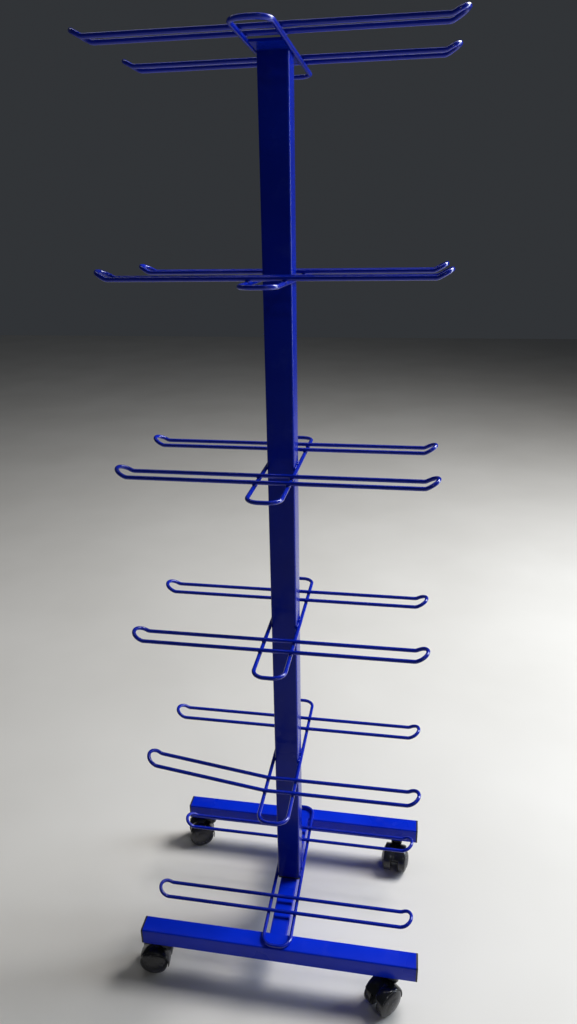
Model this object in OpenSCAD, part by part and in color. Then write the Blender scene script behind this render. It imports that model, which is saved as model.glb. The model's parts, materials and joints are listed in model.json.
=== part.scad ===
// Six-tier display rack that turns on its wheeled base.
// Millimetres. Origin on the floor under the column axis.
// +X to the right, +Y to the rear, +Z up.

/* [View] */
// which sub-part to draw ("all" draws the whole rack)

/* [Column] */
// outside width of the square column tube
column_w = 40; // [34:1:48]
// wall thickness of the column tube
column_wall = 2; // [1.5:0.5:3]
// outside corner radius of the column tube
column_corner = 3.5; // [2.5:0.5:5]
// gap between the foot of the column tube and the top of the base
foot_gap = 6.5; // [6:0.5:8]
// thickness of the flange of the plug in the column foot
foot_flange = 4; // [3:0.5:4]
// length of the plate that closes the column top
cap_length = 126; // [90:2:126]
// thickness of the plate that closes the column top
cap_thickness = 3; // [2:0.5:4]

/* [Tiers] */
// number of tiers up the column
tier_count = 6;
// distance from one tier to the next
tier_pitch = 262.8; // [210:0.2:320]
// clearance under the lowest ring, above the base bars
ring_clearance = 1.5; // [1:0.5:3]
// rod diameter of the tier rings
ring_rod = 6; // [5:0.5:7]
// length of a tier ring, rod centre to rod centre
ring_length = 316.8; // [290:0.2:340]
// centre line radius of the ring corners
ring_corner = 18; // [10:0.5:21]

/* [Arms] */
// rod diameter of the arm loops
arm_rod = 6; // [5:0.5:7]
// length of an arm loop, tip to tip
arm_length = 452; // [370:0.2:546]
// distance between the two rods of an arm loop, centre to centre
arm_width = 30; // [26:0.5:34]
// distance from the column axis to the middle of an arm loop
arm_offset = 82; // [82:0.5:96]
// upward tilt of the arm tips in degrees
tip_angle = 28; // [10:1:40]
// bend radius where the arm tips turn up
tip_bend = 12; // [9:1:18]
// straight stub between the bend and the rounded end
tip_stub = 1; // [1:0.5:6]
// tier counted from the top whose front loop is bent
bent_tier = 5;
// upward set of the bent left half of that loop in degrees
bent_angle = 8.5; // [0:0.5:15]

/* [Base] */
// width of the base tubes
base_w = 30; // [27:0.5:33]
// height of the base tubes
base_h = 31.5; // [29:0.5:33]
// wall thickness of the base tubes
base_wall = 2; // [1.5:0.5:3]
// corner radius of the base tubes
base_corner = 3; // [2.5:0.5:5]
// overall length of the front and rear bars with their plugs
bar_length = 470; // [420:5:560]
// distance between the front and rear bar centre lines
bar_spacing = 292; // [270:2:320]
// height of the top of the base above the floor
base_top = 92.5; // [92:0.5:100]
// thickness of the flange of the bar end plugs
plug_flange = 3; // [2:0.5:5]

/* [Pivot] */
// diameter of the spindle that carries the column
spindle_d = 20; // [16:1:24]
// height of the spindle above the base
spindle_h = 170; // [130:5:230]
// radial running clearance of the spindle and the axles
running = 0.05; // [0.02:0.01:0.1]

/* [Castors] */
// wheel diameter
wheel_d = 48; // [40:1:49]
// width of one wheel
wheel_w = 20; // [13:0.5:21]
// distance between the two wheels of a castor
wheel_gap = 14; // [11:0.5:15]
// trail of the axle behind the swivel axis
castor_trail = 22; // [19:0.5:24]
// distance from the bar end to the swivel axis
castor_inset = 40; // [36:1:60]
// diameter of the castor stem
stem_d = 11; // [9:0.5:12]
// diameter of the castor axle
axle_d = 7; // [5:0.5:9]
// swivel of the front left castor in degrees
swivel_fl = 185; // [-360:1:360]
// swivel of the front right castor in degrees
swivel_fr = 228; // [-360:1:360]
// swivel of the rear left castor in degrees
swivel_rl = 200; // [-360:1:360]
// swivel of the rear right castor in degrees
swivel_rr = -95; // [-360:1:360]

/* [Hidden] */
// facets of round faces
$fn = 64;
// radius of a ring rod
ring_r = ring_rod / 2;
// radius of an arm rod
arm_r = arm_rod / 2;
// how far the ridge where a tip is joined on stands proud
tip_ridge = 0.04;
// half of the length of that ridge
tip_ridge_l = 0.45;
// gap inside the ridge between the two rods it joins
tip_gap = 0.15;
// setback of the bent half's rods at the kink
kink_gap = ceil((arm_r * sin(bent_angle) + 0.03) * 100) / 100;
// height of the lowest ring's rod centre
ring_low = base_top + ring_clearance + ring_r;
// height of the highest ring's rod centre
ring_high = ring_low + tier_pitch * (tier_count - 1);
// height of the foot of the column
foot_z = base_top + foot_gap;
// height of the top of the column tube, under the cap plate
column_top = ring_high - cap_thickness / 2;
// distance from the column axis to the long rods of a ring
ring_half = column_w / 2 + ring_r;
// reach of the upturned end of an arm
tip_reach = arm_r + (tip_stub + arm_width / 2) * cos(tip_angle) + tip_bend * sin(tip_angle);
// where the straight part of an arm ends, to the hundredth
arm_straight = round((arm_length / 2 - tip_reach) * 100) / 100;
// clear width inside the column tube
column_inner = column_w - 2 * column_wall;
// height of the two bushes in the column
bush_h = 24;
// half of the distance between the bars
bar_y = bar_spacing / 2;
// sideways position of the castor stems
stem_x = bar_length / 2 - castor_inset;
// underside of the base tubes
base_under = base_top - base_h;
// height of the spindle's own flange on the base
spindle_flange = 1.5;
// thickness of the thrust washer between flange and column
thrust_h = foot_gap - foot_flange - spindle_flange;
// diameter of the spindle's flange and of the thrust washer
thrust_d = 32;
// radius of a castor wheel
wheel_r = wheel_d / 2;
// gap between a wheel and the hood over it
hood_gap = 1.4;
// thickness of the hood
hood_t = 2;
// outside width of a castor
castor_w = wheel_gap + 2 * wheel_w;
// height of the dome on the outer side of a wheel
dome_h = 7;
// radius of that dome
dome_r = (wheel_r * wheel_r + dome_h * dome_h) / (2 * dome_h);
// half of the width of the hood, which ends where the domes start
hood_half = castor_w / 2 - dome_h;
// length of the axle
axle_l = castor_w - 8;
// thickness of the flange of a castor socket
socket_flange = 4;
// gap between the castor neck and its socket
neck_gap = 0.5;
// names of all sub-parts

// ---- shared shapes ----

// w by h outline with rounded corners
module round_box(w, h, r)
{
    square([w - 2 * r, h], center = true);
    square([w, h - 2 * r], center = true);
    for (x = [-1, 1])
        for (y = [-1, 1])
            translate([x * (w / 2 - r), y * (h / 2 - r)])
                circle(r);
}

// box-section tube of length l standing on z = 0
module box_tube(w, h, wall, r, l)
{
    linear_extrude(l)
        difference() {
            round_box(w, h, r);
            round_box(w - 2 * wall, h - 2 * wall, r - wall / 2);
        }
}

// straight rod along +X from the origin
module rod(r, l)
{
    rotate([0, 90, 0])
        cylinder(r = r, h = l);
}

// rod bent round the point (0, bend_r) from the origin, in the XY plane
module rod_bend(r, bend_r, angle)
{
    translate([0, bend_r, 0])
        rotate_extrude(angle = angle, start = -90)
            translate([bend_r, 0])
                circle(r);
}

// ---- base ----

// box-section bar along X with two holes for castor sockets
module cross_bar(y)
{
    l = bar_length - 2 * plug_flange;
    color([0.02, 0.08, 0.62])
        difference() {
            translate([-l / 2, y, base_top - base_h / 2])
                rotate([90, 0, 90])
                    box_tube(base_w, base_h, base_wall, base_corner, l);
            for (x = [-stem_x, stem_x])
                translate([x, y, base_under - 1])
                    cylinder(d = stem_d + 5, h = base_wall + 2);
        }
}

module front_bar()
{
    cross_bar(-bar_y);
}

module rear_bar()
{
    cross_bar(bar_y);
}

// beam along Y between the two bars, under the column
module centre_beam()
{
    l = bar_spacing - base_w;
    color([0.02, 0.08, 0.62])
        translate([0, l / 2, base_top - base_h / 2])
            rotate([90, 0, 0])
                box_tube(base_w, base_h, base_wall, base_corner, l);
}

// plug with a flange that closes a bar end, pushed in along +X
module end_plug()
{
    hollow = 2 * base_wall;
    color([0.02, 0.02, 0.025])
        rotate([90, 0, 90]) {
            linear_extrude(plug_flange)
                round_box(base_w, base_h, base_corner);
            translate([0, 0, plug_flange])
                linear_extrude(14)
                    round_box(base_w - hollow, base_h - hollow, base_corner - base_wall / 2);
        }
}

// the two plugs of one bar
module end_plugs(y)
{
    for (side = [0, 1])
        mirror([side, 0, 0])
            translate([-bar_length / 2, y, base_top - base_h / 2])
                end_plug();
}

module front_end_plugs()
{
    end_plugs(-bar_y);
}

module rear_end_plugs()
{
    end_plugs(bar_y);
}

// ---- pivot hidden in the column foot ----

// spindle with a flange that stands on the centre beam
module pivot_spindle()
{
    color([0.5, 0.5, 0.52])
        translate([0, 0, base_top])
            difference() {
                union() {
                    cylinder(d = thrust_d, h = spindle_flange);
                    cylinder(d = spindle_d, h = spindle_h);
                }
                translate([0, 0, spindle_h - 20])
                    cylinder(d = 8, h = 21);
            }
}

// slippery washer that carries the weight of the column
module thrust_washer()
{
    color([0.05, 0.05, 0.06])
        translate([0, 0, base_top + spindle_flange])
            difference() {
                cylinder(d = thrust_d, h = thrust_h);
                translate([0, 0, -1])
                    cylinder(d = spindle_d + 0.2, h = thrust_h + 2);
            }
}

// washer that stops the column lifting off the spindle
module retaining_washer()
{
    color([0.5, 0.5, 0.52])
        translate([0, 0, base_top + spindle_h])
            difference() {
                cylinder(d = spindle_d + 8, h = 2);
                translate([0, 0, -1])
                    cylinder(d = 8, h = 4);
            }
}

// screw through the retaining washer into the spindle
module retaining_screw()
{
    color([0.5, 0.5, 0.52])
        translate([0, 0, base_top + spindle_h + 2]) {
            cylinder(d = 14, h = 5, $fn = 6);
            translate([0, 0, -20])
                cylinder(d = 8, h = 20);
        }
}

// ---- column ----

module column_tube()
{
    color([0.01, 0.05, 0.5])
        translate([0, 0, foot_z])
            box_tube(column_w, column_w, column_wall, column_corner, column_top - foot_z);
}

// block pushed into the column, bored to run on the spindle
module bush(z)
{
    color([0.8, 0.8, 0.78])
        translate([0, 0, z])
            difference() {
                linear_extrude(bush_h)
                    round_box(column_inner, column_inner, column_corner - column_wall / 2);
                translate([0, 0, -1])
                    cylinder(d = spindle_d + 2 * running, h = bush_h + 2);
            }
}

// the lower bush is a plug with a flange that shows under the column
module lower_bush()
{
    bush(foot_z);
    color([0.02, 0.02, 0.025])
        translate([0, 0, foot_z - foot_flange])
            difference() {
                linear_extrude(foot_flange)
                    round_box(column_w, column_w, column_corner);
                translate([0, 0, -1])
                    cylinder(d = spindle_d + 2 * running, h = foot_flange + 2);
            }
}

module upper_bush()
{
    bush(base_top + spindle_h - 0.5 - bush_h);
}

// plate over the column top, lying between the rods of the top ring
module top_cap_plate()
{
    color([0.01, 0.05, 0.45])
        translate([-column_w / 2, -cap_length / 2, column_top])
            cube([column_w, cap_length, cap_thickness]);
}

// ---- tiers ----

// closed ring of round rod hugging the column, tier counted from the top
module tier_ring(tier)
{
    z = ring_low + tier_pitch * (tier_count - tier);
    long_l = ring_length - 2 * ring_corner;
    short_l = 2 * (ring_half - ring_corner);
    color([0.02, 0.09, 0.65])
        translate([0, 0, z])
            for (turn = [0, 180])
                rotate(turn) {
                    translate([ring_half, -long_l / 2, 0])
                        rotate(90)
                            rod(ring_r, long_l);
                    translate([-short_l / 2, -ring_length / 2, 0]) {
                        rod(ring_r, short_l);
                        translate([short_l, 0, 0])
                            rod_bend(ring_r, ring_corner, 90);
                    }
                    translate([-short_l / 2, ring_length / 2, 0])
                        mirror([0, 1, 0])
                            translate([short_l, 0, 0])
                                rod_bend(ring_r, ring_corner, 90);
                }
}

// low ridge round an arm rod at the origin, where two pieces join
module ridge(proud, half)
{
    translate([-half, 0, 0])
        rod(arm_r + proud, 2 * half);
}

// one upturned end of an arm loop, starting at the origin and going +X
module arm_tip()
{
    for (y = [-1, 1])
        translate([0, y * arm_width / 2, 0])
            rotate([90, 0, 0])
                rod_bend(arm_r, tip_bend, tip_angle);
    translate([tip_bend * sin(tip_angle), 0, tip_bend * (1 - cos(tip_angle))])
        rotate([0, -tip_angle, 0]) {
            for (y = [-1, 1])
                translate([0, y * arm_width / 2, 0]) {
                    translate([tip_gap, 0, 0])
                        rod(arm_r, tip_stub - tip_gap);
                    ridge(tip_ridge, tip_ridge_l);
                }
            translate([tip_stub, 0, 0])
                rotate_extrude(angle = 180, start = -90)
                    translate([arm_width / 2, 0])
                        circle(arm_r);
        }
}

// half of an arm loop going +X, its straight rods starting at from
module arm_half(straight, from = 0)
{
    for (y = [-1, 1])
        translate([from, y * arm_width / 2, 0])
            rod(arm_r, straight - from);
    translate([straight, 0, 0])
        arm_tip();
}

// long narrow loop lying across a tier ring; lift bends its left half up
module arm_loop(tier, side, lift = 0)
{
    z = ring_low + tier_pitch * (tier_count - tier) + ring_r + arm_r;
    color([0.02, 0.09, 0.65])
        translate([0, side * arm_offset, z])
            if (lift == 0)
                union() {
                    translate([-arm_straight, 0, 0])
                        arm_half(2 * arm_straight);
                    mirror([1, 0, 0])
                        translate([arm_straight, 0, 0])
                            arm_tip();
                }
            else {
                translate([-ring_half, 0, 0])
                    arm_half(arm_straight + ring_half);
                translate([-ring_half, 0, 0])
                    mirror([1, 0, 0])
                        rotate([0, -lift, 0])
                            arm_half(arm_straight - ring_half, kink_gap);
                for (y = [-1, 1])
                    translate([-ring_half, y * arm_width / 2, 0])
                        rotate([0, lift / 2, 0])
                            ridge(0.1, kink_gap + 0.2);
            }
}

module ring_1() { tier_ring(1); }
module ring_2() { tier_ring(2); }
module ring_3() { tier_ring(3); }
module ring_4() { tier_ring(4); }
module ring_5() { tier_ring(5); }
module ring_6() { tier_ring(6); }

module front_arm_1() { arm_loop(1, -1, bent_tier == 1 ? bent_angle : 0); }
module front_arm_2() { arm_loop(2, -1, bent_tier == 2 ? bent_angle : 0); }
module front_arm_3() { arm_loop(3, -1, bent_tier == 3 ? bent_angle : 0); }
module front_arm_4() { arm_loop(4, -1, bent_tier == 4 ? bent_angle : 0); }
module front_arm_5() { arm_loop(5, -1, bent_tier == 5 ? bent_angle : 0); }
module front_arm_6() { arm_loop(6, -1, bent_tier == 6 ? bent_angle : 0); }

module rear_arm_1() { arm_loop(1, 1); }
module rear_arm_2() { arm_loop(2, 1); }
module rear_arm_3() { arm_loop(3, 1); }
module rear_arm_4() { arm_loop(4, 1); }
module rear_arm_5() { arm_loop(5, 1); }
module rear_arm_6() { arm_loop(6, 1); }

// ---- castors ----

// puts a castor piece at one corner of the base, swivelled
module at_castor(x, y, swivel)
{
    translate([x * stem_x, y * bar_y, 0])
        rotate(swivel)
            children();
}

// turns a shape drawn round +Z so that it lies round the axle
module on_axle()
{
    translate([castor_trail, 0, wheel_r])
        rotate([90, 0, 0])
            children();
}

// sleeve with a flange in the underside of a bar
module castor_socket()
{
    color([0.03, 0.03, 0.035])
        translate([0, 0, base_under])
            difference() {
                union() {
                    translate([0, 0, -socket_flange])
                        cylinder(d = 28, h = socket_flange);
                    cylinder(d = stem_d + 5, h = base_h - base_wall - 4);
                }
                translate([0, 0, -socket_flange - 1])
                    cylinder(d = stem_d + 2 * running, h = socket_flange + base_h - base_wall - 6);
            }
}

// steel stem that turns in the socket
module castor_stem()
{
    color([0.45, 0.45, 0.47])
        translate([0, 0, base_under - socket_flange - 14])
            cylinder(d = stem_d, h = 14 + socket_flange + base_h - base_wall - 9);
}

// hood over both wheels with the web, axle boss and swivel neck
module castor_hood()
{
    r0 = wheel_r + hood_gap;
    r1 = r0 + hood_t;
    half = hood_half;
    web = wheel_gap / 2 - 0.6;
    neck_top = base_under - socket_flange - neck_gap;
    color([0.03, 0.03, 0.035])
        difference() {
            union() {
                on_axle() {
                    // arched shell with sloping shoulders and a middle groove
                    rotate_extrude(angle = 158, start = 36)
                        polygon([
                            [r0, -half], [r1 - 1.6, -half], [r1 - 0.3, 2 - half], [r1, 5 - half],
                            [r1, -3.5], [r1 - 1, -2.5], [r1 - 1, 2.5], [r1, 3.5],
                            [r1, half - 5], [r1 - 0.3, half - 2], [r1 - 1.6, half], [r0, half]
                        ]);
                    // web between the wheels
                    translate([0, 0, -web])
                        rotate_extrude(angle = 158, start = 36)
                            square([r0 + 0.5, 2 * web]);
                    // axle boss
                    translate([0, 0, -web])
                        cylinder(r = 9, h = 2 * web);
                }
                // neck round the stem
                translate([0, 0, wheel_r + 4])
                    cylinder(d = 22, h = neck_top - wheel_r - 4);
            }
            // room for the wheels in the foot of the neck
            on_axle()
                for (side = [-1, 1])
                    translate([0, 0, side * (web + castor_w / 4)])
                        cylinder(r = r0, h = castor_w / 2, center = true);
            // bore for the stem
            translate([0, 0, base_under - socket_flange - 14])
                cylinder(d = stem_d, h = 20);
            // bore for the axle
            on_axle()
                cylinder(d = axle_d, h = castor_w, center = true);
        }
}

// axle pressed through the hood's boss
module castor_axle()
{
    color([0.45, 0.45, 0.47])
        on_axle()
            cylinder(d = axle_d, h = axle_l, center = true);
}

// domed wheel with a blind bore; side -1 is wheel a, +1 is wheel b
module castor_wheel(side)
{
    depth = axle_l / 2 - wheel_gap / 2 + 0.5;
    color([0.035, 0.035, 0.04])
        on_axle()
            mirror([0, 0, side < 0 ? 1 : 0])
                translate([0, 0, wheel_gap / 2])
                    difference() {
                        rotate_extrude()
                            intersection() {
                                translate([0, wheel_w - dome_r])
                                    circle(dome_r);
                                square([wheel_r, wheel_w]);
                            }
                        translate([0, 0, -1])
                            cylinder(d = axle_d + 2 * running, h = depth + 1);
                    }
}

module socket_fl() { at_castor(-1, -1, 0) castor_socket(); }
module socket_fr() { at_castor(1, -1, 0) castor_socket(); }
module socket_rl() { at_castor(-1, 1, 0) castor_socket(); }
module socket_rr() { at_castor(1, 1, 0) castor_socket(); }

module stem_fl() { at_castor(-1, -1, swivel_fl) castor_stem(); }
module stem_fr() { at_castor(1, -1, swivel_fr) castor_stem(); }
module stem_rl() { at_castor(-1, 1, swivel_rl) castor_stem(); }
module stem_rr() { at_castor(1, 1, swivel_rr) castor_stem(); }

module hood_fl() { at_castor(-1, -1, swivel_fl) castor_hood(); }
module hood_fr() { at_castor(1, -1, swivel_fr) castor_hood(); }
module hood_rl() { at_castor(-1, 1, swivel_rl) castor_hood(); }
module hood_rr() { at_castor(1, 1, swivel_rr) castor_hood(); }

module axle_fl() { at_castor(-1, -1, swivel_fl) castor_axle(); }
module axle_fr() { at_castor(1, -1, swivel_fr) castor_axle(); }
module axle_rl() { at_castor(-1, 1, swivel_rl) castor_axle(); }
module axle_rr() { at_castor(1, 1, swivel_rr) castor_axle(); }

module wheel_a_fl() { at_castor(-1, -1, swivel_fl) castor_wheel(-1); }
module wheel_b_fl() { at_castor(-1, -1, swivel_fl) castor_wheel(1); }
module wheel_a_fr() { at_castor(1, -1, swivel_fr) castor_wheel(-1); }
module wheel_b_fr() { at_castor(1, -1, swivel_fr) castor_wheel(1); }
module wheel_a_rl() { at_castor(-1, 1, swivel_rl) castor_wheel(-1); }
module wheel_b_rl() { at_castor(-1, 1, swivel_rl) castor_wheel(1); }
module wheel_a_rr() { at_castor(1, 1, swivel_rr) castor_wheel(-1); }
module wheel_b_rr() { at_castor(1, 1, swivel_rr) castor_wheel(1); }

// ---- drawing ----

front_bar();
rear_bar();
centre_beam();
front_end_plugs();
rear_end_plugs();
pivot_spindle();
thrust_washer();
retaining_washer();
retaining_screw();
column_tube();
lower_bush();
upper_bush();
top_cap_plate();
ring_1();
ring_2();
ring_3();
ring_4();
ring_5();
ring_6();
front_arm_1();
front_arm_2();
front_arm_3();
front_arm_4();
front_arm_5();
front_arm_6();
rear_arm_1();
rear_arm_2();
rear_arm_3();
rear_arm_4();
rear_arm_5();
rear_arm_6();
socket_fl();
socket_fr();
socket_rl();
socket_rr();
stem_fl();
stem_fr();
stem_rl();
stem_rr();
hood_fl();
hood_fr();
hood_rl();
hood_rr();
axle_fl();
axle_fr();
axle_rl();
axle_rr();
wheel_a_fl();
wheel_b_fl();
wheel_a_fr();
wheel_b_fr();
wheel_a_rl();
wheel_b_rl();
wheel_a_rr();
wheel_b_rr();
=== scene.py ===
# %% [markdown]
# # A display rack that turns on a wheeled base
#
# The rack is a square steel post on an H-shaped base with four castors. Each tier is a ring of
# steel rod round the post, with two long wire loops lying across it as arms. Everything steel is
# powder coated in one strong blue. We start from the measured model, which already has every
# part in its place, and give it the finer shapes and the finishes that the real thing has.

# %% Load the measured model
import json
import math
import bpy
import bmesh
from mathutils import Matrix, Vector


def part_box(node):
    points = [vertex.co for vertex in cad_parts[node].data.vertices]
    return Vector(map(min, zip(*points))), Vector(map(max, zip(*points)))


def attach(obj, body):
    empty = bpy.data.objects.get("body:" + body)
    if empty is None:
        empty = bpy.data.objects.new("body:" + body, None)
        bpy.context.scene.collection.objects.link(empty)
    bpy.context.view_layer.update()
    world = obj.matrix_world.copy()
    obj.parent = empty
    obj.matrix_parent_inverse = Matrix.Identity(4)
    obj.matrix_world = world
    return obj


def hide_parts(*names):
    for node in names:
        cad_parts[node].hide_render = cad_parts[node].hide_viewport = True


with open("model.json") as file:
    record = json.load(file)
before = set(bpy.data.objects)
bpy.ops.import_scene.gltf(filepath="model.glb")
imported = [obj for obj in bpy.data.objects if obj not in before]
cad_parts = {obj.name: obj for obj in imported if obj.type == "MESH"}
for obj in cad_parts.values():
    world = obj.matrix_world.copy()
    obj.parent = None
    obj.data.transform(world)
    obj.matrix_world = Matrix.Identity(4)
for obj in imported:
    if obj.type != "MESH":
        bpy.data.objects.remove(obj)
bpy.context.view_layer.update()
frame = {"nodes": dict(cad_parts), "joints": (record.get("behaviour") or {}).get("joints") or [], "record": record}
NODES = frame["nodes"]

# %% [markdown]
# ## The camera
#
# The viewer stands about a metre away, with the eye a little below the top tier, looking down
# along the post. A short lens takes in the whole rack, so the post narrows towards its foot and the
# arms fan out. Three turns place the camera: yaw round the post, pitch towards the floor and a
# slight roll.

# %% Camera at eye height
def turned_axes(yaw, pitch, roll):
    ahead = Vector((-math.sin(yaw) * math.cos(pitch), math.cos(yaw) * math.cos(pitch), math.sin(pitch)))
    right = Vector((math.cos(yaw), math.sin(yaw), 0))
    up = right.cross(ahead)
    turned_right = math.cos(roll) * right + math.sin(roll) * up
    turned_up = -math.sin(roll) * right + math.cos(roll) * up
    return turned_right, turned_up, ahead


right, up, ahead = turned_axes(0.169, -0.369, -0.016)
eye = Vector((0.1782, -1.0029, 1.2061))
lens = bpy.data.cameras.new("camera")
lens.lens = 25.38
lens.sensor_width = 36
camera = bpy.data.objects.new("camera", lens)
bpy.context.scene.collection.objects.link(camera)
camera.matrix_world = Matrix((
    (right.x, up.x, -ahead.x, eye.x), (right.y, up.y, -ahead.y, eye.y),
    (right.z, up.z, -ahead.z, eye.z), (0, 0, 0, 1)))
bpy.context.scene.camera = camera
print("camera at", tuple(round(v, 3) for v in eye), "lens", lens.lens)

# %% [markdown]
# ## Floor and light
#
# A plain pale floor catches the shadows. Most of the light comes from a wide soft lamp above,
# behind and to the right of the rack, which leaves the front of the post in shade. A cool lamp
# at the right puts a pale sheen on the post's side, a long strip draws fine lines along the
# rods, and a small lamp in front gives the bright points on the bends.

# %% Node helper: sockets that take part in plain sums
class Wire:
    """An output socket of a material's node tree that can be added and multiplied."""

    def __init__(self, tree, socket):
        self.tree, self.socket = tree, socket

    def node(self, kind, settings=None, out=0, **values):
        return make_node(self.tree, kind, settings, out, **values)

    def maths(self, operation, other):
        return self.node("ShaderNodeMath", {"operation": operation}, _0=self, _1=other)

    def __add__(self, other):
        return self.maths("ADD", other)

    def __mul__(self, other):
        return self.maths("MULTIPLY", other)


def make_node(tree, kind, settings=None, out=0, **values):
    """One node: its settings first, then the values or links of its sockets (_0 is the first)."""
    node = tree.nodes.new(kind)
    for key, setting in (settings or {}).items():
        setattr(node, key, setting)
    for key, value in values.items():
        socket = node.inputs[int(key[1:])] if key[0] == "_" else node.inputs[key.replace("_", " ")]
        if isinstance(value, Wire):
            tree.links.new(value.socket, socket)
        else:
            socket.default_value = value
    return Wire(tree, node.outputs[out])


def noise(place, scale, detail=3.0):
    """Soft cloudy values between 0 and 1."""
    return make_node(place.tree, "ShaderNodeTexNoise", Vector=place, Scale=scale, Detail=detail)


def fade(value, low, high, start=0.0, end=1.0):
    """Maps low..high onto start..end and holds the ends."""
    return make_node(value.tree, "ShaderNodeMapRange", {"clamp": True}, _0=value, _1=low, _2=high,
                     _3=start, _4=end)


def blend_colours(mask, a, b):
    """Colour a where the mask is 0 and colour b where it is 1."""
    return make_node(mask.tree, "ShaderNodeMix", {"data_type": "RGBA"}, 2, _0=mask, _6=a, _7=b)


def new_material(name):
    """An empty principled material, its shader and the piece's own coordinates."""
    material = bpy.data.materials.new(name)
    material.use_nodes = True
    tree = material.node_tree
    shader = tree.nodes["Principled BSDF"]
    place = make_node(tree, "ShaderNodeTexCoord", out=3)
    return material, tree, shader, place


def set_shader(shader, **values):
    """Constants go straight onto the shader, wires are linked."""
    for key, value in values.items():
        socket = shader.inputs[key.replace("_", " ")]
        if isinstance(value, Wire):
            value.tree.links.new(value.socket, socket)
        else:
            socket.default_value = value


print("node helper ready")

# %% Floor
floor_material, tree, shader, place = new_material("pale_floor")
cloud = noise(place, 2.0)
pale = blend_colours(fade(cloud, 0.3, 0.7), (0.70, 0.67, 0.62, 1), (0.76, 0.73, 0.68, 1))
set_shader(shader, Base_Color=pale, Roughness=0.6)
mesh = bpy.data.meshes.new("floor")
bm = bmesh.new()
bmesh.ops.create_grid(bm, x_segments=1, y_segments=1, size=8)
bm.to_mesh(mesh)
bm.free()
floor = bpy.data.objects.new("floor", mesh)
bpy.context.scene.collection.objects.link(floor)
mesh.materials.append(floor_material)
print("floor", mesh.vertices[0].co[:])

# %% Soft lights
def soft_lamp(name, place, aim, size, power, colour=(1, 1, 1)):
    data = bpy.data.lights.new(name, "AREA")
    data.shape = "RECTANGLE"
    data.size, data.size_y = size
    data.energy, data.color = power, colour
    lamp = bpy.data.objects.new(name, data)
    bpy.context.scene.collection.objects.link(lamp)
    lamp.location = place
    lamp.rotation_euler = (Vector(aim) - Vector(place)).to_track_quat("-Z", "Y").to_euler()
    return lamp


soft_lamp("overhead_lamp", (1.7, 1.3, 3.1), (0, 0, 0.2), (1.2, 1.2), 100)
soft_lamp("side_lamp", (2.5, 0.9, 1.5), (0, 0, 0.8), (0.9, 2.4), 64, (0.78, 0.88, 1))
soft_lamp("strip_lamp", (0, 0.9, 3.3), (0, 0, 0.6), (4.0, 0.3), 11)
soft_lamp("front_lamp", (1.3, -2.0, 2.4), (0, 0, 0.8), (0.18, 0.18), 4)
world = bpy.data.worlds.new("room")
world.use_nodes = True
world.node_tree.nodes["Background"].inputs[0].default_value = (0.62, 0.68, 0.76, 1)
world.node_tree.nodes["Background"].inputs[1].default_value = 0.05
bpy.context.scene.world = world
bpy.context.scene.view_settings.view_transform = "Standard"
print("lamps: 4")

# %% [markdown]
# ## Powder coat, plastic and steel
#
# Powder coat is a thick baked paint. It flows into a faint orange-peel skin, is a little
# rougher in some places than in others, and collects fine dust. A bump of small soft
# noise gives the skin, and a clear coat gives the sharp highlights along the rods.

# %% Blue powder coat
def powder_coat(name, deep, bright, peel, gloss, shine, coat):
    material, tree, shader, place = new_material(name)
    cloud = noise(place, 9.0)
    dust = fade(noise(place, 38.0, 5.0), 0.56, 0.8, 0.0, 0.02)
    paint = blend_colours(fade(cloud, 0.3, 0.7), deep, bright)
    paint = blend_colours(dust, paint, (0.45, 0.5, 0.62, 1))
    skin = make_node(tree, "ShaderNodeBump", Strength=0.22, Distance=peel,
                     Height=noise(place, 620.0, 2.0))
    set_shader(shader, Base_Color=paint, Roughness=fade(cloud, 0.25, 0.75, gloss, gloss + 0.10) + dust,
               Normal=skin, IOR=shine, Coat_Weight=coat, Coat_Roughness=0.05)
    return material


# The steel has one blue, made here as three copies of different strength. The base gets the brightest copy, which
# is painted light for its lit top faces. The post and the rods get darker copies, which is painted shade.
blue_base_painted_light = powder_coat("blue_base_painted_light", (0.0003, 0.018, 0.50, 1), (0.0005, 0.025, 0.62, 1),
                        0.0002, 0.24, 1.25, 0.1)
blue_column_painted_shade = powder_coat("blue_column_painted_shade", (0.0003, 0.009, 0.24, 1), (0.0004, 0.013, 0.31, 1),
                          0.0002, 0.20, 1.22, 0.1)
blue_rod_painted_shade = powder_coat("blue_rod_painted_shade", (0.0005, 0.011, 0.31, 1), (0.0007, 0.015, 0.39, 1),
                       0.0001, 0.17, 1.38, 0.35)
print("powder coat:", blue_base_painted_light.name, blue_column_painted_shade.name, blue_rod_painted_shade.name)


# %% Black plastic, nylon and zinc
def plastic(name, colour, scuffed, gloss, grain):
    material, tree, shader, place = new_material(name)
    scuffs = fade(noise(place, 90.0, 6.0), 0.58, 0.78, 0.0, 0.5)
    skin = make_node(tree, "ShaderNodeBump", Strength=0.2, Distance=grain,
                     Height=noise(place, 900.0, 2.0))
    set_shader(shader, Base_Color=blend_colours(scuffs, colour, scuffed),
               Roughness=scuffs * 0.3 + gloss, Normal=skin, IOR=1.48)
    return material


black_plug = plastic("black_plug", (0.012, 0.012, 0.014, 1), (0.05, 0.05, 0.055, 1), 0.45, 0.0002)
black_hood = plastic("black_hood", (0.014, 0.015, 0.018, 1), (0.06, 0.06, 0.07, 1), 0.16, 0.00005)
black_wheel = plastic("black_wheel", (0.022, 0.022, 0.026, 1), (0.09, 0.09, 0.095, 1), 0.24, 0.00008)
nylon = plastic("nylon", (0.62, 0.61, 0.56, 1), (0.5, 0.48, 0.42, 1), 0.4, 0.0001)


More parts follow.
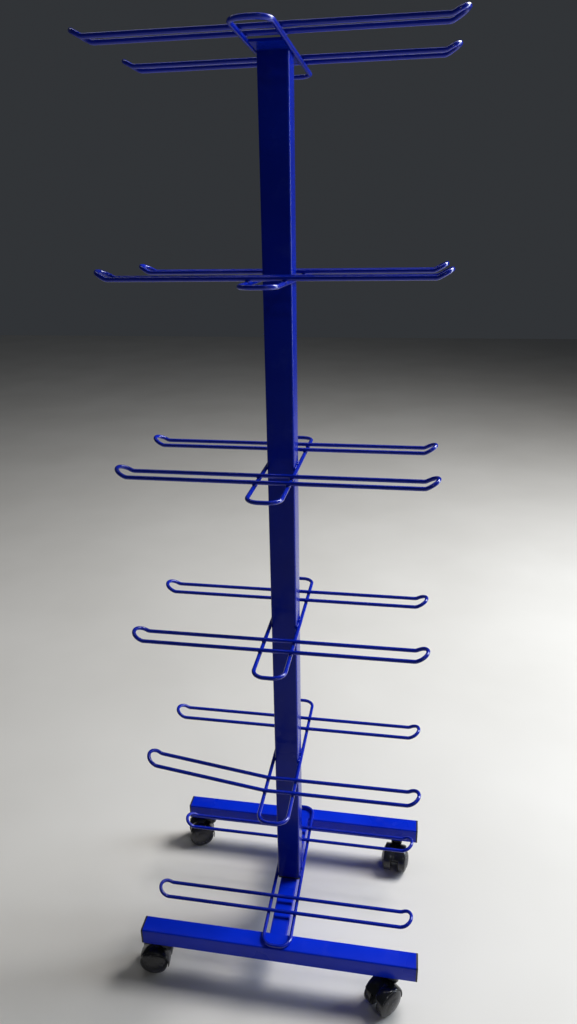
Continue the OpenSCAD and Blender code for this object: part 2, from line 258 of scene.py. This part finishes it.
def zinc(name):
    material, tree, shader, place = new_material(name)
    cloud = noise(place, 120.0, 4.0)
    set_shader(shader, Base_Color=blend_colours(cloud, (0.42, 0.43, 0.45, 1), (0.6, 0.6, 0.62, 1)),
               Metallic=1.0, Roughness=fade(cloud, 0.3, 0.7, 0.28, 0.45))
    return material


plain_steel = zinc("zinc_steel")
BY_SLOT = {"base_blue": blue_base_painted_light, "column_blue": blue_column_painted_shade, "rod_blue": blue_rod_painted_shade,
           "plug_black": black_plug, "hood_black": black_hood, "wheel_black": black_wheel,
           "bush_nylon": nylon, "plain_steel": plain_steel}
for part in frame["record"]["subparts"]:
    materials = NODES[part["node"]].data.materials
    materials.clear()
    materials.append(BY_SLOT[part["material_slot"]])

# %% [markdown]
# ## Turning a bmesh into a finished piece
#
# Every new piece goes the same way: merge what meets, point the faces outwards, shade smoothly,
# give it the finish of the record's slot and let it ride on the body it belongs to. The
# measured part it stands for is hidden then, and keeps its place for collision.

# %% Finish a piece
BODIES = frame["record"]["behaviour"]["bodies"]
BODY_OF = {node: body for body, nodes in BODIES.items() for node in nodes}
SLOT_OF = {part["node"]: part["material_slot"] for part in frame["record"]["subparts"]}


def add_piece(bm, name, like, hides=(), material=None, sharp_angle=35):
    """Makes the bmesh a piece that rides where the node called like rides."""
    bmesh.ops.remove_doubles(bm, verts=bm.verts, dist=0.000004)
    bmesh.ops.recalc_face_normals(bm, faces=bm.faces)
    limit = math.radians(sharp_angle)
    for face in bm.faces:
        face.smooth = True
    for edge in bm.edges:
        if len(edge.link_faces) == 2 and edge.calc_face_angle() > limit:
            edge.smooth = False
    mesh = bpy.data.meshes.new(name)
    bm.to_mesh(mesh)
    bm.free()
    mesh.materials.append(material or BY_SLOT[SLOT_OF[like]])
    piece = bpy.data.objects.new(name, mesh)
    bpy.context.scene.collection.objects.link(piece)
    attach(piece, BODY_OF[like])
    if hides:
        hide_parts(*hides)
    return piece


print("bodies known for", len(BODY_OF), "parts")

# %% [markdown]
# ## Bending rod
#
# A wire bender makes a loop from one straight rod: feed a length, bend it round a pin, feed
# again, and butt weld the two ends. We do the same. A circle of edges is the rod's end face.
# An extrude feeds it forward and a spin bends it, and the last circle lands on the first.

# %% The rod bender
class Bender:
    """A rod that is fed and bent, starting at a point and pointing ahead."""

    def __init__(self, radius, start, ahead, sides=20):
        self.bm, self.radius = bmesh.new(), radius
        self.at, self.ahead = Vector(start), Vector(ahead).normalized()
        turn = self.ahead.to_track_quat("Z", "Y").to_matrix().to_4x4()
        made = bmesh.ops.create_circle(self.bm, segments=sides, radius=radius,
                                       matrix=Matrix.Translation(self.at) @ turn)
        self.end = list({e for v in made["verts"] for e in v.link_edges})

    def feed(self, length, pieces=1):
        for _ in range(pieces):
            made = bmesh.ops.extrude_edge_only(self.bm, edges=self.end)["geom"]
            verts = [g for g in made if isinstance(g, bmesh.types.BMVert)]
            rim = set(verts)
            self.end = [g for g in made if isinstance(g, bmesh.types.BMEdge)
                        and g.verts[0] in rim and g.verts[1] in rim]
            bmesh.ops.translate(self.bm, verts=verts, vec=self.ahead * (length / pieces))
        self.at = self.at + self.ahead * length

    def bend(self, towards, radius, angle, steps):
        centre = self.at + Vector(towards).normalized() * radius
        axis = self.ahead.cross(Vector(towards)).normalized()
        made = bmesh.ops.spin(self.bm, geom=self.end, cent=centre, axis=axis, angle=angle, steps=steps,
                              use_duplicate=False)
        self.end = [g for g in made["geom_last"] if isinstance(g, bmesh.types.BMEdge)]
        turn = Matrix.Rotation(angle, 3, axis)
        self.at = centre + turn @ (self.at - centre)
        self.ahead = (turn @ self.ahead).normalized()


print("bender ready")

# %% Tier rings
ring_corner = 0.018
TIERS = range(1, 7)
for tier in TIERS:
    node = f"ring_{tier}"
    low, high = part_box(node)
    radius = (high.z - low.z) / 2
    side, end, level = high.x - radius, high.y - radius, (low.z + high.z) / 2
    rod = Bender(radius, (side, -end + ring_corner, level), (0, 1, 0))
    for half_turn in range(2):
        for length in (2 * (end - ring_corner), 2 * (side - ring_corner)):
            rod.feed(length, 4)
            inward = Vector((0, 0, 1)).cross(rod.ahead)
            rod.bend(inward, ring_corner, math.pi / 2, 14)
    gap = (rod.at - Vector((side, -end + ring_corner, level))).length
    add_piece(rod.bm, f"tier_ring_{tier}", node, [node])
print("rings:", len(TIERS), "last one closes to", round(gap * 1000, 4), "mm")

# %% Arm loops with upturned ends
tip_angle = math.radians(28)
tip_bend = 0.012
tip_stub = 0.001
bent_angle = math.radians(8.5)
ring_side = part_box("ring_1")[1].x - 0.003


def bend_loop(node, name, half, kink):
    low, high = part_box(node)
    radius = 0.003
    width = high.y - low.y - 2 * radius
    middle, level = (low.y + high.y) / 2, low.z + radius
    reach = radius + (tip_stub + width / 2) * math.cos(tip_angle) + tip_bend * math.sin(tip_angle)
    straight = half - reach
    start = Vector((-ring_side, middle - width / 2, level))
    rod = Bender(radius, start, (1, 0, 0))
    rise = Vector((0, 0, 1))

    def tip():
        side = rod.ahead
        lift = (rise - side * rise.dot(side)).normalized()
        rod.bend(lift, tip_bend, tip_angle, 7)
        rod.feed(tip_stub)
        inward = Vector((0, math.copysign(1, middle - rod.at.y), 0))
        rod.bend(inward, width / 2, math.pi, 24)
        rod.feed(tip_stub)
        sink = (rise - rod.ahead * rise.dot(rod.ahead)).normalized()
        rod.bend(sink, tip_bend, tip_angle, 7)

    rod.feed(straight + ring_side, 6)
    tip()
    rod.feed(straight + ring_side, 6)
    if kink:
        rod.bend(rise, 0.0004, kink, 2)
    rod.feed(straight - ring_side, 4)
    tip()
    rod.feed(straight - ring_side, 4)
    if kink:
        rod.bend(rise, 0.0004, kink, 2)
    miss = (rod.at - start).length
    add_piece(rod.bm, name, node, [node])
    return miss


arm_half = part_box("front_arm_1")[1].x
misses = []
for tier in TIERS:
    low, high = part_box(f"front_arm_{tier}")
    kink = bent_angle if low.x > -arm_half + 0.0005 else 0
    misses.append(bend_loop(f"front_arm_{tier}", f"front_loop_{tier}", arm_half, kink))
    misses.append(bend_loop(f"rear_arm_{tier}", f"rear_loop_{tier}", arm_half, 0))
print("loops:", len(misses), "worst closing gap", round(max(misses) * 1000, 4), "mm")

# %% [markdown]
# ## Welds
#
# Crossing rods are pressed together and spot welded, which leaves a small collar of metal where
# they touch. The rings are tacked to the post with short rows of overlapping beads. Paint
# covers all of it, so the welds take the paint of the rods.

# %% Weld beads
def bead(bm, place, size, turn=0.0):
    """One squashed ball of weld metal."""
    made = bmesh.ops.create_icosphere(bm, subdivisions=2, radius=1.0)
    shape = Matrix.Translation(place) @ Matrix.Rotation(turn, 4, "Z") @ Matrix.Diagonal((*size, 1))
    bmesh.ops.transform(bm, matrix=shape, verts=made["verts"])


column_low, column_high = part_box("column_tube")
half_column = column_high.x
for tier in TIERS:
    bm = bmesh.new()
    low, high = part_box(f"ring_{tier}")
    radius = (high.z - low.z) / 2
    side, level = high.x - radius, (low.z + high.z) / 2
    for arm in (f"front_arm_{tier}", f"rear_arm_{tier}"):
        arm_low, arm_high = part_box(arm)
        for y in (arm_low.y + 0.003, arm_high.y - 0.003):
            for x in (-side, side):
                bead(bm, (x, y, high.z), (0.0033, 0.0033, 0.0016))
    for x in (-1, 1):
        for y in (-1, 1):
            for step in range(5):
                along = half_column - 0.0045 - 0.0027 * step
                place = (x * (half_column + 0.0007), y * along, level + 0.0021)
                if place[2] > column_low.z:
                    bead(bm, place, (0.0016, 0.0019, 0.0015), 0.3 * step)
    add_piece(bm, f"tier_welds_{tier}", f"ring_{tier}")
print("weld groups:", len(TIERS))

# %% [markdown]
# ## Post, bars and beam
#
# Square tube is rolled, so its long corners are round and catch a thin line of light. A cube
# with its four long edges bevelled gives a true round corner with smooth shading. The beam
# is welded between the bars, and the weld is ground nearly flush before painting.

# %% Square tubes
def solid_tube(node, name, along, corner, extra=0.0, segments=6):
    low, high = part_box(node)
    low[along], high[along] = low[along] - extra, high[along] + extra
    centre, size = (low + high) / 2, high - low
    bm = bmesh.new()
    bmesh.ops.create_cube(bm, size=1, matrix=Matrix.Translation(centre) @ Matrix.Diagonal((*size, 1)))
    long_edges = [e for e in bm.edges if abs((e.verts[0].co - e.verts[1].co)[along]) > size[along] * 0.9]
    bmesh.ops.bevel(bm, geom=long_edges, offset=corner, offset_type="OFFSET", affect="EDGES",
                    segments=segments, profile=0.5, material=-1)
    return add_piece(bm, name, node, [node])


solid_tube("column_tube", "post", 2, 0.0035)
solid_tube("front_bar", "base_bar_front", 0, 0.003)
solid_tube("rear_bar", "base_bar_rear", 0, 0.003)
solid_tube("centre_beam", "base_beam", 1, 0.003, 0.0029)
print("tubes: 4")

# %% Flush welds of the beam
bm = bmesh.new()
beam_low, beam_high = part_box("centre_beam")
for y, sign in ((beam_low.y, -1), (beam_high.y, 1)):
    for x_step in range(11):
        x = beam_low.x + 0.0035 + (beam_high.x - beam_low.x - 0.007) * x_step / 10
        bead(bm, (x, y + sign * 0.0006, beam_high.z - 0.0011), (0.0023, 0.0026, 0.0012), 0.2 * x_step)
    for z_step in range(9):
        z = beam_low.z + 0.004 + (beam_high.z - beam_low.z - 0.009) * z_step / 8
        for x in (beam_low.x, beam_high.x):
            bead(bm, (x, y + sign * 0.0002, z), (0.0014, 0.0016, 0.0023))
add_piece(bm, "beam_welds", "centre_beam")
print("beam welds done")

# %% [markdown]
# ## Castors
#
# Each castor has two wheels with domed faces either side of a web, and a glossy hood that
# covers them from above. A wheel is one profile spun round its axle. The hood is a curved
# strip spun part of the way round, then rounded along its edges.

# %% Wheels and hoods
JOINTS = {joint["name"]: joint for joint in frame["joints"]}
wheel_radius = 0.024
hub_gap = 0.007
wheel_width = 0.020
dome_height = 0.007
hood_arc = math.radians(158)
hood_start = math.radians(36)
hood_clearance = 0.0014
hood_thickness = 0.002
boss_radius = 0.009
neck_foot = 0.046


def axle_frame(corner):
    """Origin on the axle, X along the trail, Y up, Z along the axle."""
    spin = JOINTS[f"wheel_spin_left_{corner}"]
    stem = Vector(JOINTS[f"castor_swivel_{corner}"]["pos_m"])
    middle = Vector(spin["pos_m"])
    trail = (middle - stem)
    trail.z = 0
    trail.normalize()
    lift = Vector((0, 0, 1))
    across = trail.cross(lift)
    return Matrix(((trail.x, lift.x, across.x, middle.x), (trail.y, lift.y, across.y, middle.y),
                   (trail.z, lift.z, across.z, middle.z), (0, 0, 0, 1)))


def spun(points, steps, angle=2 * math.pi, start=0.0, closed=False):
    """Spins a profile of (radius, height) points round Z."""
    bm = bmesh.new()
    verts = [bm.verts.new((r, 0, z)) for r, z in points]
    pairs = list(zip(verts, verts[1:])) + ([(verts[-1], verts[0])] if closed else [])
    edges = [bm.edges.new(pair) for pair in pairs]
    if start:
        bmesh.ops.rotate(bm, verts=verts, cent=(0, 0, 0), matrix=Matrix.Rotation(start, 3, "Z"))
    full = abs(angle - 2 * math.pi) < 0.001
    bmesh.ops.spin(bm, geom=verts + edges, cent=(0, 0, 0), axis=(0, 0, 1), angle=angle, steps=steps,
                   use_merge=full, use_duplicate=False)
    if closed and not full:
        bmesh.ops.holes_fill(bm, edges=bm.edges, sides=0)
    return bm


def dome_profile():
    """Hub, rounded tread corner, tread, and a dome with a shallow groove round the hub cap."""
    ball = (wheel_radius ** 2 + dome_height ** 2) / (2 * dome_height)
    top = wheel_width
    points = [(0.0, 0.0), (wheel_radius - 0.0018, 0.0), (wheel_radius - 0.0005, 0.0005),
              (wheel_radius, 0.0018), (wheel_radius, top - dome_height - 0.001),
              (wheel_radius - 0.0004, top - dome_height + 0.0001)]
    for step in range(1, 13):
        r = (wheel_radius - 0.0012) * (1 - step / 12)
        groove = 0.0006 if step == 4 else 0.0
        points.append((r, top - ball + math.sqrt(ball * ball - r * r) - 0.0001 - groove))
    return points


for corner in ("fl", "fr", "rl", "rr"):
    placed = axle_frame(corner)
    for letter, sign in (("a", -1), ("b", 1)):
        node = f"wheel_{letter}_{corner}"
        low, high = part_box(node)
        outward = placed.col[2].to_3d()
        centre = (low + high) / 2
        toward = 1 if (centre - placed.translation).dot(outward) > 0 else -1
        bm = spun(dome_profile(), 56)
        flip = Matrix.Translation((0, 0, toward * hub_gap)) @ Matrix.Diagonal((1, 1, toward, 1))
        bmesh.ops.transform(bm, matrix=placed @ flip, verts=bm.verts)
        add_piece(bm, f"castor_wheel_{letter}_{corner}", node, [node], sharp_angle=50)
    inner = wheel_radius + hood_clearance
    outer = inner + hood_thickness
    half = hub_gap + wheel_width - dome_height
    strip = [(inner, -half), (outer - 0.0014, -half), (outer - 0.0004, -half + 0.0014),
             (outer, -half + 0.004), (outer, -0.0042), (outer - 0.001, -0.003),
             (outer - 0.001, 0.003), (outer, 0.0042), (outer, half - 0.004),
             (outer - 0.0004, half - 0.0014), (outer - 0.0014, half), (inner, half)]
    bm = spun(strip, 40, hood_arc, hood_start, closed=True)
    web = hub_gap - 0.0006
    plate = [(0.004, -web), (inner + 0.0005, -web), (inner + 0.0005, web), (0.004, web)]
    disc = spun(plate, 40, hood_arc, hood_start, closed=True)
    holder = bpy.data.meshes.new("web")
    disc.to_mesh(holder)
    disc.free()
    bm.from_mesh(holder)
    bpy.data.meshes.remove(holder)
    bmesh.ops.create_cone(bm, cap_ends=True, segments=40, radius1=boss_radius,
                          radius2=boss_radius, depth=2 * web)
    bmesh.ops.transform(bm, matrix=placed, verts=bm.verts)
    low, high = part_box(f"hood_{corner}")
    stem = Vector(JOINTS[f"castor_swivel_{corner}"]["pos_m"])
    neck_low, neck_high = neck_foot, high.z
    bmesh.ops.create_cone(bm, cap_ends=True, segments=48, radius1=0.011, radius2=0.0105,
                          depth=neck_high - neck_low,
                          matrix=Matrix.Translation((stem.x, stem.y, (neck_low + neck_high) / 2)))
    add_piece(bm, f"castor_hood_{corner}", f"hood_{corner}", [f"hood_{corner}"], sharp_angle=40)
print("castors: 4")
